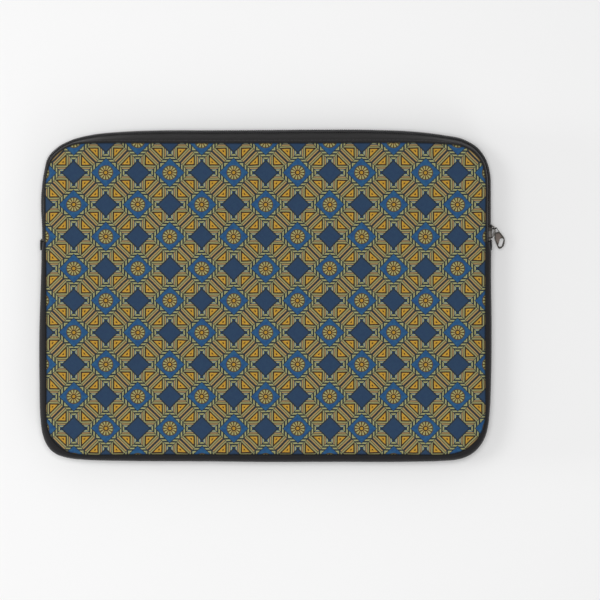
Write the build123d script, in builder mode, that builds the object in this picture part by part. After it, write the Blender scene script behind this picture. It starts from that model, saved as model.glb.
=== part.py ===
from build123d import *
import math
import os

# Padded laptop sleeve lying flat on its back, zip open.
# Millimetres. +Z is up (the printed front faces +Z), +Y points to the mouth,
# +X to the right. The origin is the centre of the back face's resting plane.

# ---- driving dimensions ----
half_w = 175.0            # outer half width
bottom_y = -128.2         # outer bottom edge
thick = 26.0              # overall thickness
mid_z = thick / 2
corner_r = 34.0           # bottom corners
corner_x = half_w - corner_r
corner_y = bottom_y + corner_r
band = 5.0                # gusset seen beside the panel
edge = 0.05               # panel layers stop this far inside the seam
skin_t = 0.8              # outer fabric
foam_t = 2.95             # padding
lining_t = 0.65           # lining
gap = 0.05                # clearance between stacked layers
zip_end_y = 42.0          # lower end of the zip on both sides
hinge_y = 57.0            # line about which the unzipped front opens
split_gap = 0.05          # half of the split between lower front and flap

# zip coil and tape
coil_r = 1.0
coil_in = 1.4             # coil centre inside the outer edge
coil_sections = 64        # lofted spans along the coil
tape_t = 0.6              # tape thickness
tape_clear = 0.12         # between coil and tape
tape_past = 0.2           # tape runs on this far past the coil centre
tape_seam_in = 0.3        # tape starts this far outside the seam edge
tape_seam_drop = 0.75     # and this far below the front face
tape_points = 7           # surface points across the tape

# Zip stations, right half, from the zip end to the middle of the mouth:
# outer edge (x, y), seam edge (x, y), coil centre above mid_z, tape slope at the coil (degrees)
right_stations = [
    ((175.0, 42.0), (170.0, 42.0), 1.15, 90),
    ((175.0, 45.0), (170.0, 45.0), 1.18, 90),
    ((175.0, 47.5), (170.0, 47.5), 1.28, 90),
    ((175.0, 50.0), (170.0, 50.0), 1.60, 90),
    ((175.0, 52.5), (170.0, 52.5), 1.82, 90),
    ((175.0, 57.0), (170.0, 57.0), 1.90, 90),
    ((175.0, 70.0), (170.0, 70.0), 1.95, 90),
    ((175.0, 82.0), (170.0, 82.0), 2.00, 89),
    ((173.8, 94.0), (169.2, 92.5), 2.10, 86),
    ((169.9, 104.8), (166.0, 101.4), 2.40, 80),
    ((162.6, 114.0), (159.6, 109.6), 2.90, 72),
    ((151.5, 121.0), (149.2, 115.6), 3.60, 62),
    ((136.0, 125.0), (134.8, 118.0), 4.30, 54),
    ((114.0, 127.1), (113.6, 118.7), 4.80, 48),
    ((84.0, 128.0), (83.9, 118.9), 5.10, 45),
    ((42.0, 128.4), (42.0, 118.9), 5.20, 45),
    ((0.0, 128.4), (0.0, 118.9), 5.20, 45),
]
left_stations = [
    ((-outer[0], outer[1]), (-seam[0], seam[1]), height, slope)
    for outer, seam, height, slope in reversed(right_stations[:-1])
]
stations = right_stations + left_stations

# planes that cut the front at the hinge line; each keeps the side its normal points to
keep_lower = Plane(origin=(0, hinge_y - split_gap, 0), z_dir=(0, -1, 0))
keep_flap = Plane(origin=(0, hinge_y + split_gap, 0), z_dir=(0, 1, 0))

os.makedirs("parts", exist_ok=True)


def save(builder, name):
    builder.part.label = name
    export_step(builder.part, "parts/" + name + ".step")


def from_seam(seam, outer, amount):
    """Point at a distance from the seam edge towards the outer edge (negative: inward)."""
    dist = math.hypot(outer[0] - seam[0], outer[1] - seam[1])
    return (seam[0] + (outer[0] - seam[0]) / dist * amount,
            seam[1] + (outer[1] - seam[1]) / dist * amount)


# ---- flat layers: outer panel, foam and lining ----
panel_curve_y = 81.9      # above this the panel outline follows the seam stations
panel_curve = [from_seam(seam, outer, -edge)
               for outer, seam, _, _ in stations if seam[1] >= panel_curve_y]

# layer heights in the front half; the back half is its mirror about mid_z
panel_z = (thick - skin_t, thick)
foam_z = (panel_z[0] - gap - foam_t, panel_z[0] - gap)
lining_z = (foam_z[0] - gap - lining_t, foam_z[0] - gap)


def layer(z_low, z_high, cut=None):
    """Plate with the sleeve's panel outline, optionally cut at the hinge."""
    side_x = half_w - band - edge
    arc_r = corner_r - band - edge
    with BuildPart() as plate:
        with BuildSketch(Plane.XY.offset(z_low)):
            with BuildLine():
                Line((side_x, corner_y), panel_curve[0])
                Spline(*panel_curve)
                Line(panel_curve[-1], (-side_x, corner_y))
                CenterArc((-corner_x, corner_y), arc_r, 180, 90)
                Line((-corner_x, corner_y - arc_r), (corner_x, corner_y - arc_r))
                CenterArc((corner_x, corner_y), arc_r, 270, 90)
            make_face()
        extrude(amount=z_high - z_low)
        if cut is not None:
            split(bisect_by=cut, keep=Keep.TOP)
    return plate


for layer_name, (z_low, z_high) in (("panel", panel_z), ("foam", foam_z), ("lining", lining_z)):
    save(layer(z_low, z_high, keep_lower), "front_" + layer_name + "_lower")
    save(layer(z_low, z_high, keep_flap), "front_" + layer_name + "_flap")
    save(layer(thick - z_high, thick - z_low), "back_" + layer_name)


# ---- gusset: runs from the right zip end round the bottom to the left zip end ----
gusset_end_y = zip_end_y - 0.3

# section plane: local x from the outer edge (negative is inward), local y from mid height
gusset_plane = Plane(origin=(half_w, gusset_end_y, mid_z), x_dir=(1, 0, 0), z_dir=(0, -1, 0))


def gusset_path():
    with BuildLine() as path:
        Line((half_w, gusset_end_y, mid_z), (half_w, corner_y, mid_z))
        CenterArc((corner_x, corner_y, mid_z), corner_r, 0, -90)
        Line((corner_x, bottom_y, mid_z), (-corner_x, bottom_y, mid_z))
        CenterArc((-corner_x, corner_y, mid_z), corner_r, 270, -90)
        Line((-half_w, corner_y, mid_z), (-half_w, gusset_end_y, mid_z))
    return path.line


def gusset_outer():
    """Outer fabric: flat side wall with a lip curling in to each panel."""
    lip_x = -band + edge
    lip_z = mid_z - 0.45
    wall_z = 5.4              # half height of the flat wall, outside
    wall_in_z = 5.2           # the same, inside
    bulge = (-1.35, lip_z - 2.2)
    bulge_in = (-1.95, lip_z - 2.85)
    with BuildPart() as outer:
        with BuildSketch(gusset_plane):
            with BuildLine():
                ThreePointArc((lip_x, lip_z), bulge, (0, wall_z))
                Line((0, wall_z), (0, -wall_z))
                ThreePointArc((0, -wall_z), (bulge[0], -bulge[1]), (lip_x, -lip_z))
                Line((lip_x, -lip_z), (lip_x, -lip_z + skin_t))
                ThreePointArc((lip_x, -lip_z + skin_t), (bulge_in[0], -bulge_in[1]),
                              (-skin_t, -wall_in_z))
                Line((-skin_t, -wall_in_z), (-skin_t, wall_in_z))
                ThreePointArc((-skin_t, wall_in_z), bulge_in, (lip_x, lip_z - skin_t))
                Line((lip_x, lip_z - skin_t), (lip_x, lip_z))
            make_face()
        sweep(path=gusset_path())
    return outer


def gusset_strip(outline):
    """Straight-sided outline swept along the gusset."""
    with BuildPart() as strip:
        with BuildSketch(gusset_plane):
            with BuildLine():
                Polyline(*outline, outline[0])
            make_face()
        sweep(path=gusset_path())
    return strip


padding_z = 8.0           # half height of gusset foam and lining
foam_in_x = -3.1          # inner face of the gusset foam
foam_outline = [(-0.9, -5.4), (-0.9, 5.4), (-1.7, padding_z), (foam_in_x, padding_z),
                (foam_in_x, -padding_z), (-1.7, -padding_z)]
lining_out_x = foam_in_x - gap
lining_in_x = -3.75
lining_outline = [(lining_out_x, -padding_z), (lining_out_x, padding_z),
                  (lining_in_x, padding_z), (lining_in_x, -padding_z)]

save(gusset_outer(), "gusset_outer")
save(gusset_strip(foam_outline), "gusset_foam")
save(gusset_strip(lining_outline), "gusset_lining")

# bindings in the inner corners between the gusset and each face
binding_x = (-4.85, -3.3)
binding_z = (8.3, 10.2)
for side, face_name in ((1, "front"), (-1, "back")):
    z_near, z_far = side * binding_z[0], side * binding_z[1]
    binding_outline = [(binding_x[0], z_near), (binding_x[0], z_far),
                       (binding_x[1], z_far), (binding_x[1], z_near)]
    save(gusset_strip(binding_outline), "inner_binding_" + face_name)


def flap_binding():
    """Binding that covers the flap's seam on the inside."""
    seam_offset = 0.85
    z = thick - 4.0
    width, height = 1.0, 1.4
    points = [from_seam(seam, outer, seam_offset)
              for outer, seam, _, _ in stations if seam[1] >= hinge_y - 0.1]
    with BuildPart() as binding:
        with BuildLine() as path:
            # both ends start just above the hinge line
            Spline(*[(x, y if y > hinge_y + 0.2 else hinge_y + 0.1, z) for x, y in points],
                   tangents=[(0, 1, 0), (0, -1, 0)])
        with BuildSketch(Plane(origin=path.line @ 0, x_dir=(1, 0, 0), z_dir=path.line % 0)):
            Rectangle(width, height)
        sweep(path=path.line)
    return binding


save(flap_binding(), "inner_binding_flap")


# ---- zip tapes and coils ----
def zip_section(outer, seam, height, slope, side):
    """Coil centre and tape mid-surface points at one station. side +1 front, -1 back.

    Section coordinates are r, outward from the outer edge, and z.
    """
    dx, dy = outer[0] - seam[0], outer[1] - seam[1]
    width = math.hypot(dx, dy)
    angle = math.radians(slope)
    coil = (-coil_in, mid_z + height)
    along = (math.cos(angle), -math.sin(angle))       # along the tape, outward and down
    normal = (-math.sin(angle), -math.cos(angle))     # inward normal of the tape
    offset = coil_r + tape_clear + tape_t / 2
    reach = 3.4 if slope > 80 else 2.6                # how far the tape keeps its end slope

    # cubic Bezier from the seam to the coil
    start = (-width + tape_seam_in, thick - tape_seam_drop)
    start_pull = (start[0] + 0.42 * width, start[1] - 0.06 * width)
    end = (coil[0] + offset * normal[0] + tape_past * along[0],
           coil[1] + offset * normal[1] + tape_past * along[1])
    end_pull = (end[0] - reach * along[0], end[1] - reach * along[1])
    controls = (start, start_pull, end_pull, end)

    def world(r, z):
        share = (r + width) / width
        return (seam[0] + dx * share, seam[1] + dy * share, z if side > 0 else thick - z)

    row = []
    for i in range(tape_points):
        t = i / (tape_points - 1)
        weights = ((1 - t) ** 3, 3 * t * (1 - t) ** 2, 3 * t * t * (1 - t), t ** 3)
        r = sum(weight * point[0] for weight, point in zip(weights, controls))
        z = sum(weight * point[1] for weight, point in zip(weights, controls))
        row.append(world(r, z))
    return world(*coil), row


def zip_tape(grid, cut):
    # curved sheet through the section points, thickened evenly to both sides
    sheet = Face.make_surface_from_array_of_points(
        [[Vector(*point) for point in row] for row in grid], tol=0.02, min_deg=3, max_deg=3)
    with BuildPart() as tape:
        thicken(sheet, amount=tape_t / 2, both=True)
        if cut is not None:
            split(bisect_by=cut, keep=Keep.TOP)
    return tape


def zip_coil(centres, cut):
    # eight-sided cord lofted through sections along the zip line
    with BuildLine() as guide:
        Spline(*centres)
    with BuildPart() as coil:
        for k in range(coil_sections + 1):
            share = k / coil_sections
            along = guide.line % share
            flat = Vector(0, 0, 1).cross(along).normalized()
            with BuildSketch(Plane(origin=guide.line @ share, x_dir=flat, z_dir=along)):
                RegularPolygon(coil_r, 8, rotation=22.5)
        loft()
        if cut is not None:
            split(bisect_by=cut, keep=Keep.TOP)
    return coil


for place, side, cut in (("front_ends", 1, keep_lower), ("front_flap", 1, keep_flap),
                         ("back", -1, None)):
    sections = [zip_section(*station, side) for station in stations]
    save(zip_tape([row for _, row in sections], cut), "zip_tape_" + place)
    save(zip_coil([centre for centre, _ in sections], cut), "zip_coil_" + place)


# ---- fabric tabs over the zip ends, and metal stops above them in Y ----
def end_prism(outline, y, amount):
    """Outline in X and Z at height y, extruded towards -Y (negative amount: +Y)."""
    with BuildPart() as prism:
        with BuildSketch(Plane.XZ.offset(-y)):
            with BuildLine():
                Polyline(*outline, outline[0])
            make_face()
        extrude(amount=amount)
    return prism


tab_y = zip_end_y + 0.4
tab_len = 6.0
tab_x = (half_w + 0.05, half_w + 0.75)
tab_z = (5.3, 4.9)        # half heights at the inner and outer face

stop_y = 42.9
stop_len = 1.6
coil_x = half_w - coil_in
stop_open_x = coil_x - 0.6            # open side of the C-shaped stop
stop_wall_x = (coil_x + 1.2, coil_x + 1.42)
stop_z = (2.45, 2.85)                 # half heights inside and outside the C

# outlines: x, z from mid height
tab_outline = [(tab_x[0], -tab_z[0]), (tab_x[1], -tab_z[1]),
               (tab_x[1], tab_z[1]), (tab_x[0], tab_z[0])]
stop_outline = [(stop_open_x, stop_z[0]), (stop_wall_x[0], stop_z[0]),
                (stop_wall_x[0], -stop_z[0]), (stop_open_x, -stop_z[0]),
                (stop_open_x, -stop_z[1]), (stop_wall_x[1], -stop_z[1]),
                (stop_wall_x[1], stop_z[1]), (stop_open_x, stop_z[1])]

for side, side_name in ((1, "right"), (-1, "left")):
    for piece, outline, y, amount in (("zip_end_tab_", tab_outline, tab_y, tab_len),
                                      ("zip_stop_", stop_outline, stop_y, -stop_len)):
        placed = [(side * x, mid_z + z) for x, z in outline]
        save(end_prism(placed, y, amount), piece + side_name)

# ---- slider on the right side: two plates, flanges and diamond ----
slider_y = (44.9, 55.4)                # slider ends at rest
channel_x = (171.55, 174.9)            # channel between the two plates
plate_x = (170.75, 175.75)             # outer faces of the plates
flange_x = 172.95                      # inner edge of the flanges
plate_hw = (3.95, 4.75)                # half widths at the lower and upper end
rim_chamfer = 0.25

# outlines: y, z from mid height
plate_half = [(slider_y[0], plate_hw[0] - 0.8), (slider_y[0] + 0.9, plate_hw[0]),
              (50.5, plate_hw[0] + 0.1), (53.4, plate_hw[1]), (slider_y[1], plate_hw[1] - 0.9)]
plate_outline = [(y, -z) for y, z in plate_half] + plate_half[::-1]
flange_outline = [(45.6, 3.92), (50.5, 4.02), (53.2, 4.62), (53.2, 4.05), (50.5, 3.5), (45.6, 3.4)]
flange_mirrored = [(y, -z) for y, z in flange_outline]
diamond_outline = [(52.3, 0), (53.4, -0.5), (55.1, -0.55), (55.1, 0.55), (53.4, 0.5)]


def plane_facing_x(x):
    # local x along +Y, local y along +Z, centred at mid height
    return Plane(origin=(x, 0, mid_z), x_dir=(0, 1, 0), z_dir=(1, 0, 0))


with BuildPart() as slider_body:
    with BuildSketch(plane_facing_x(channel_x[1])):         # outer plate
        with BuildLine():
            Polyline(*plate_outline, plate_outline[0])
        make_face()
    extrude(amount=plate_x[1] - channel_x[1])
    chamfer(slider_body.faces().sort_by(Axis.X)[-1].edges(), rim_chamfer)
    # inner plate, two flanges, diamond; the last three run into the plates
    for outline, x_from, x_to in ((plate_outline, plate_x[0], channel_x[0]),
                                  (flange_outline, flange_x, channel_x[1] + 0.2),
                                  (flange_mirrored, flange_x, channel_x[1] + 0.2),
                                  (diamond_outline, channel_x[0] - 0.3, channel_x[1] + 0.3)):
        with BuildSketch(plane_facing_x(x_from)):
            with BuildLine():
                Polyline(*outline, outline[0])
            make_face()
        extrude(amount=x_to - x_from)
save(slider_body, "slider_body")

# arched bridge on the outer plate; curve points are x, y
bridge_w = 0.9
foot_x = plate_x[1] + 0.02
bridge_outer = [(foot_x, 45.0), (177.2, 46.6), (177.85, 49.6), (177.8, 52.9), (foot_x, 55.0)]
bridge_inner = [(foot_x, 54.1), (176.95, 52.7), (177.05, 49.6), (176.5, 47.2), (foot_x, 46.1)]

with BuildPart() as slider_bridge:
    with BuildSketch(Plane.XY.offset(mid_z - bridge_w / 2)):
        with BuildLine():
            Spline(*bridge_outer, tangents=[(0.9, 0.5), (-0.95, 0.25)])
            Line(bridge_outer[-1], bridge_inner[0])
            Spline(*bridge_inner, tangents=[(0.9, -0.4), (-0.9, -0.4)])
            Line(bridge_inner[-1], bridge_outer[0])
        make_face()
    extrude(amount=bridge_w)
save(slider_bridge, "slider_bridge")

# ---- pull: hangs from the bridge and droops a little towards the floor ----
link_r = 1.35
link_wire_r = 0.37
link_centre = Vector(177.67, 52.4, mid_z)
swing = math.radians(15.0)                 # away from -Y towards +X
droop = math.radians(12.0)
pull_dir = Vector(math.sin(swing) * math.cos(droop),
                  -math.cos(swing) * math.cos(droop),
                  -math.sin(droop))
pull_normal = pull_dir.cross(Vector(math.cos(swing), math.sin(swing), 0))
link_x = Vector(0, 1, 0).cross(pull_normal).normalized()
pivot = link_centre + link_x * link_r      # where the tab's eye meets the link

# round link standing in an XZ plane
with BuildPart() as pull_link:
    with BuildLine() as ring:
        add(Edge.make_circle(link_r, plane=Plane(origin=link_centre, x_dir=link_x,
                                                 z_dir=(0, -1, 0))))
    with BuildSketch(Plane(origin=ring.line @ 0, x_dir=link_x, z_dir=ring.line % 0)):
        Circle(link_wire_r)
    sweep(path=ring.line)
save(pull_link, "pull_link")

# pull tab: eye, diverging flanks, recessed middle and a slanted oval hole near its outer end
pull_t = 0.9
recess_depth = 0.22
pull_plane = Plane(origin=pivot, x_dir=pull_dir, z_dir=pull_normal)

# outlines: distance along the tab from the pivot, distance across
flank_a = [(0.2, 0.98), (3.6, 2.3), (7.1, 3.85), (9.9, 4.4), (12.8, 3.6), (15.0, 1.9), (16.1, -0.2)]
flank_b = [(16.1, -0.2), (15.9, -1.5), (14.6, -2.3), (11.9, -2.75), (7.5, -3.1), (3.8, -2.1),
           (0.2, -0.98)]
eye_outline = [(-0.05, 0.61), (0.5, 0.7), (2.6, 1.2), (2.9, 1.0), (2.9, -0.85), (2.6, -1.05),
               (0.5, -0.7), (-0.05, -0.61), (-0.44, -0.44), (-0.6, 0), (-0.44, 0.44)]
recess_outline = [(3.9, 1.3), (7.3, 2.85), (8.0, 1.6), (11.6, -1.25), (11.2, -1.95),
                  (7.6, -2.25), (3.9, -1.25)]

with BuildPart() as pull_tab:
    with BuildSketch(pull_plane.offset(-pull_t / 2)):
        with BuildLine():
            Spline(*flank_a)
            Spline(*flank_b)
            ThreePointArc(flank_b[-1], (-1.0, 0), flank_a[0])
        make_face()
        with BuildLine():                       # three-cornered eye
            Polyline(*eye_outline, eye_outline[0])
        make_face(mode=Mode.SUBTRACT)
        with Locations((11.6, 0.95)):
            SlotOverall(7.0, 3.1, rotation=-30, mode=Mode.SUBTRACT)
    extrude(amount=pull_t)
    for side in (1, -1):                        # recess in each face
        with BuildSketch(pull_plane.offset(side * (pull_t / 2 - recess_depth))):
            with BuildLine():
                Polyline(*recess_outline, recess_outline[0])
            make_face()
        extrude(amount=side * 0.5, mode=Mode.SUBTRACT)
save(pull_tab, "pull_tab")

# ---- blank label sewn on the back lining, near the mouth ----
label_w, label_h, label_t = 34, 16, 0.3
label_corner_r = 1.0
label_y = 106

with BuildPart() as care_label:
    with BuildSketch(Plane.XY.offset(thick - lining_z[0] + gap)):
        with Locations((0, label_y)):
            RectangleRounded(label_w, label_h, label_corner_r)
    extrude(amount=label_t)
save(care_label, "care_label")
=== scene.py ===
"""A flat padded case in printed canvas, closed by a zip round its +y side.

The case lies on its back panel with the front facing +z, its length along x and
its width along y. It is 26 mm thick, from z = 0 to z = THICK. The part of the front
beyond the hinge, towards +y, is a flap. Sizes are in millimetres unless a comment
says metres; make_object turns them into metres.
"""
import bpy
import math
import numpy as np
from functools import partialmethod
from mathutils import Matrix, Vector
from mathutils.geometry import delaunay_2d_cdt


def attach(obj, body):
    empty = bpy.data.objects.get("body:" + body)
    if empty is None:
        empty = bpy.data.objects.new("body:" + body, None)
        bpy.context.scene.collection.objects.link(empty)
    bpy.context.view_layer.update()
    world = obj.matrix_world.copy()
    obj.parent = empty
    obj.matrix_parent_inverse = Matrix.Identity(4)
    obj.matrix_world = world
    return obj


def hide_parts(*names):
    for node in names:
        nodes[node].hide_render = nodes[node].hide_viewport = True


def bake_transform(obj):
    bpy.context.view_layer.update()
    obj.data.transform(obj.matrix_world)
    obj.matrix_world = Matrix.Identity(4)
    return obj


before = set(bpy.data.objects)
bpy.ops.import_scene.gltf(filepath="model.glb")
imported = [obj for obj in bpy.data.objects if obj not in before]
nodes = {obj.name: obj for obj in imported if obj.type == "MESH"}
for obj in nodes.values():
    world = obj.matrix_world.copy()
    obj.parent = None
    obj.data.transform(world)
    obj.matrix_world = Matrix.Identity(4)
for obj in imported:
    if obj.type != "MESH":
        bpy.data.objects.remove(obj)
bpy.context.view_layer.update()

MM = 0.001
THICK = 26.0
MID = THICK / 2
HINGE_Y = 57.0
FLAP_START_Y = HINGE_Y + 0.2
CLOTH_THICK = 0.8       # printed canvas and outer webbing
TAPE_THICK = 0.6        # zip tape
ROOT2 = math.sqrt(2)

# ------------------------------------------------------------------ shader node helpers


def operator(operation, swapped=False):
    """A Value operator that adds a Math node."""
    def method(self, other):
        pair = (other, self) if swapped else (self, other)
        return self.net.calc(operation, *pair)
    return method


class Value:
    """A float socket with arithmetic, so that patterns read as formulas."""

    def __init__(self, net, socket):
        self.net = net
        self.socket = socket

    __add__ = operator("ADD")
    __radd__ = operator("ADD", swapped=True)
    __sub__ = operator("SUBTRACT")
    __rsub__ = operator("SUBTRACT", swapped=True)
    __mul__ = operator("MULTIPLY")
    __rmul__ = operator("MULTIPLY", swapped=True)
    __truediv__ = operator("DIVIDE")
    __gt__ = operator("GREATER_THAN")
    __lt__ = operator("LESS_THAN")


def linear_channel(level):
    """One 0..255 sRGB channel as linear light."""
    level = level / 255.0
    return level / 12.92 if level <= 0.04045 else ((level + 0.055) / 1.055) ** 2.4


def rgba(colour):
    return tuple(linear_channel(level) for level in colour) + (1.0,)


class Net:
    """One material's node tree. Colours are 0..255 sRGB tuples or sockets."""

    def __init__(self, name):
        self.material = bpy.data.materials.new(name)
        self.material.use_nodes = True
        self.tree = self.material.node_tree
        self.tree.nodes.clear()
        output = self.node("ShaderNodeOutputMaterial")
        self.bsdf = self.node("ShaderNodeBsdfPrincipled")
        self.put(output.inputs[0], self.bsdf.outputs[0])

    def node(self, kind, **props):
        """Adds a node, laid out in rows of thirty."""
        row, column = divmod(len(self.tree.nodes), 30)
        node = self.tree.nodes.new(kind)
        node.location = (220 * column, -260 * row)
        for key, value in props.items():
            setattr(node, key, value)
        return node

    def put(self, target, source):
        """Links a Value or socket to an input, or sets the input to a constant."""
        if isinstance(source, Value):
            self.tree.links.new(source.socket, target)
        elif hasattr(source, "is_output"):
            self.tree.links.new(source, target)
        else:
            target.default_value = source

    def calc(self, operation, *args):
        node = self.node("ShaderNodeMath", operation=operation)
        for target, source in zip(node.inputs, args):
            self.put(target, source)
        return Value(self, node.outputs[0])

    abs = partialmethod(calc, "ABSOLUTE")
    sqrt = partialmethod(calc, "SQRT")
    sin = partialmethod(calc, "SINE")
    floor = partialmethod(calc, "FLOOR")
    round = partialmethod(calc, "ROUND")
    frac = partialmethod(calc, "FRACT")
    mod = partialmethod(calc, "FLOORED_MODULO")
    min = partialmethod(calc, "MINIMUM")
    max = partialmethod(calc, "MAXIMUM")
    atan2 = partialmethod(calc, "ARCTAN2")

    def step(self, value, start, end):
        """Smooth 0..1 from start to end."""
        node = self.node("ShaderNodeMapRange", interpolation_type="SMOOTHSTEP")
        self.put(node.inputs["Value"], value)
        node.inputs["From Min"].default_value = start
        node.inputs["From Max"].default_value = end
        return Value(self, node.outputs["Result"])

    def remap(self, value, source, target):
        """Linear map of the source range onto the target range."""
        node = self.node("ShaderNodeMapRange")
        self.put(node.inputs["Value"], value)
        for label, limits in (("From", source), ("To", target)):
            node.inputs[label + " Min"].default_value = limits[0]
            node.inputs[label + " Max"].default_value = limits[1]
        return Value(self, node.outputs["Result"])

    def mix(self, factor, first, second):
        node = self.node("ShaderNodeMix", data_type="RGBA")
        self.put(node.inputs[0], factor)
        for index, colour in ((6, first), (7, second)):
            self.put(node.inputs[index], rgba(colour) if isinstance(colour, tuple) else colour)
        return node.outputs[2]

    def fade(self, first, second, value, start, end):
        """Colour that turns from first to second as value goes from start to end."""
        return self.mix(self.step(value, start, end), first, second)

    def scale(self, colour, factor):
        node = self.node("ShaderNodeVectorMath", operation="SCALE")
        self.put(node.inputs[0], colour)
        self.put(node.inputs[3], factor)
        return node.outputs[0]

    def split(self, vector):
        node = self.node("ShaderNodeSeparateXYZ")
        self.put(node.inputs[0], vector)
        return [Value(self, socket) for socket in node.outputs]

    def uv(self, name):
        node = self.node("ShaderNodeUVMap", uv_map=name)
        return self.split(node.outputs[0])[:2]

    def position(self):
        """Object coordinates, in metres."""
        return self.node("ShaderNodeTexCoord").outputs["Object"]

    def vector(self, x, y, z=0.0):
        node = self.node("ShaderNodeCombineXYZ")
        for target, source in zip(node.inputs, (x, y, z)):
            self.put(target, source)
        return node.outputs[0]

    def texture(self, kind, place, output, **inputs):
        """A texture node; place is a vector socket or a tuple of coordinates."""
        node = self.node(kind)
        self.put(node.inputs["Vector"], self.vector(*place) if isinstance(place, tuple) else place)
        for key, value in inputs.items():
            node.inputs[key].default_value = value
        return Value(self, node.outputs[output])

    def noise(self, place, scale, detail=3.0, rough=0.55):
        return self.texture("ShaderNodeTexNoise", place, "Fac",
                            Scale=scale, Detail=detail, Roughness=rough)

    def voronoi(self, place, scale):
        return self.texture("ShaderNodeTexVoronoi", place, "Distance", Scale=scale)

    def painted_seam_shade(self, floor, start, end):
        """Painted shade: tone that rises from floor to 1 with the distance from the cloth's edge,
        darkening the cloth into its seam groove.
        """
        node = self.node("ShaderNodeAttribute", attribute_name="edge_mm")
        edge = Value(self, node.outputs["Fac"])
        return floor + (1 - floor) * self.step(edge, start, end)

    def bump(self, height, distance, strength):
        """Bump whose distance is in metres."""
        node = self.node("ShaderNodeBump")
        node.inputs["Strength"].default_value = strength
        node.inputs["Distance"].default_value = distance
        self.put(node.inputs["Height"], height)
        self.put(self.bsdf.inputs["Normal"], node.outputs[0])

    def surface(self, colour, rough, metallic=0.0, sheen=0.0, specular=0.5):
        for key, value in (("Base Color", colour), ("Roughness", rough), ("Metallic", metallic),
                           ("Sheen Weight", sheen), ("Sheen Roughness", 0.5),
                           ("Specular IOR Level", specular)):
            self.put(self.bsdf.inputs[key], value)


# ------------------------------------------------------------------ materials


def weave_height(net, x, y, pitch):
    """Plain weave: threads pass over and under each other."""
    column, row = x / pitch, y / pitch
    parity = net.mod(net.floor(column) + net.floor(row), 2.0)
    thread_x = net.abs(net.sin(column * math.pi))
    thread_y = net.abs(net.sin(row * math.pi))
    over = thread_x * (0.55 + 0.45 * thread_y)
    under = thread_y * (0.55 + 0.45 * thread_x)
    return parity * over + (1.0 - parity) * under


def lattice_colour(net, x, y):
    """Diagonal lattice of squares with ray rosettes, striped bands and strips of triangles.

    Lengths inside the pattern are in lattice units.
    """
    unit = 24.755                     # mm per lattice unit
    origin_x, origin_y = 123.9, 95.5  # mm, places a rosette at (-origin_x, origin_y)
    wobble = 1.2                      # mm, unevenness of the print
    half = math.sqrt(0.5)             # half a square
    navy, field = (34, 58, 88), (28, 72, 120)
    dark, brown = (34, 44, 52), (52, 32, 20)
    gold, tan = (176, 134, 38), (166, 138, 84)
    olive, cream = (158, 160, 112), (150, 146, 96)

    def line(coord, centre, half_width):
        return net.abs(coord - centre) < half_width

    def wrap(coord):
        """Distance from the nearest square's centre."""
        return coord - net.round(coord / ROOT2) * ROOT2

    wobble_x = net.noise((x, y), scale=0.055, detail=2.0)
    wobble_y = net.noise((x + 71.3, y), scale=0.055, detail=2.0)
    across = (x + origin_x + (wobble_x - 0.5) * wobble) / unit
    down = (origin_y - y + (wobble_y - 0.5) * wobble) / unit
    side_a = wrap((across + down) / ROOT2)
    side_b = wrap((across - down) / ROOT2)
    low = net.min(net.abs(side_a), net.abs(side_b))
    high = net.max(net.abs(side_a), net.abs(side_b))

    mottle = net.noise((x, y), scale=0.35, detail=3.0)

    def mottled(first, second):
        return net.fade(first, second, mottle, start=0.3, end=0.7)

    # slanted stripes in the band beside each strip
    slant = net.frac((low + high) / (ROOT2 * 0.092) + 0.5)
    in_band = net.min(high > 0.336, high < 0.436)
    # strips between the squares: triangles pointing outwards, with nested lines
    strip = high > 0.452
    leg = (0.372 - low - (half - high)) / ROOT2
    beyond = leg * -1.0               # distance outside the triangle's slanting side
    triangle = net.min(leg, low - 0.150)
    gold_shade = net.fade(gold, (196, 152, 56), net.noise((x, y), scale=0.9, detail=2.0),
                          start=0.35, end=0.65)
    # rosette of twelve straight rays
    radius = net.sqrt(side_a * side_a + side_b * side_b)
    ray = net.frac(net.atan2(side_b, side_a) * (12.0 / (2 * math.pi)) + 0.5)
    ray_mask = line(ray, centre=0.5, half_width=0.27) * (radius < 0.206)
    ray_colour = net.fade((172, 146, 84), (158, 160, 108), radius, start=0.08, end=0.20)

    # (mask, colour) painted in order over the field
    bands = [
        (high > 0.318, dark),
        (net.min(in_band, line(slant, centre=0.5, half_width=0.245)), mottled(olive, cream)),
        (strip, dark),
    ]
    strip_layers = [
        (line(beyond, centre=0.040, half_width=0.020), cream),
        (line(beyond, centre=0.098, half_width=0.018), tan),
        (beyond > 0.128, field),
        (line(beyond, centre=0.160, half_width=0.020), olive),
        (low > 0.424, dark),
        (low < 0.148, dark),
        (line(low, centre=0.112, half_width=0.021), cream),
        (line(low, centre=0.052, half_width=0.021), tan),
        (triangle > -0.010, brown),
        (triangle > 0.022, gold_shade),
        (triangle > 0.072, brown),
    ]
    diamond_and_rosette = [
        (low > 0.436, dark),
        (low > 0.464, mottled(navy, (36, 62, 90))),
        (radius < 0.232, (84, 66, 34)),
        (ray_mask, ray_colour),
        (radius < 0.082, (44, 34, 30)),
        (radius < 0.050, gold),
    ]
    colour = net.fade(field, (36, 88, 126), mottle, start=0.35, end=0.68)
    for mask, paint in (bands + [(strip * mask, paint) for mask, paint in strip_layers]
                        + diamond_and_rosette):
        colour = net.mix(mask, colour, paint)
    return colour


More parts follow.
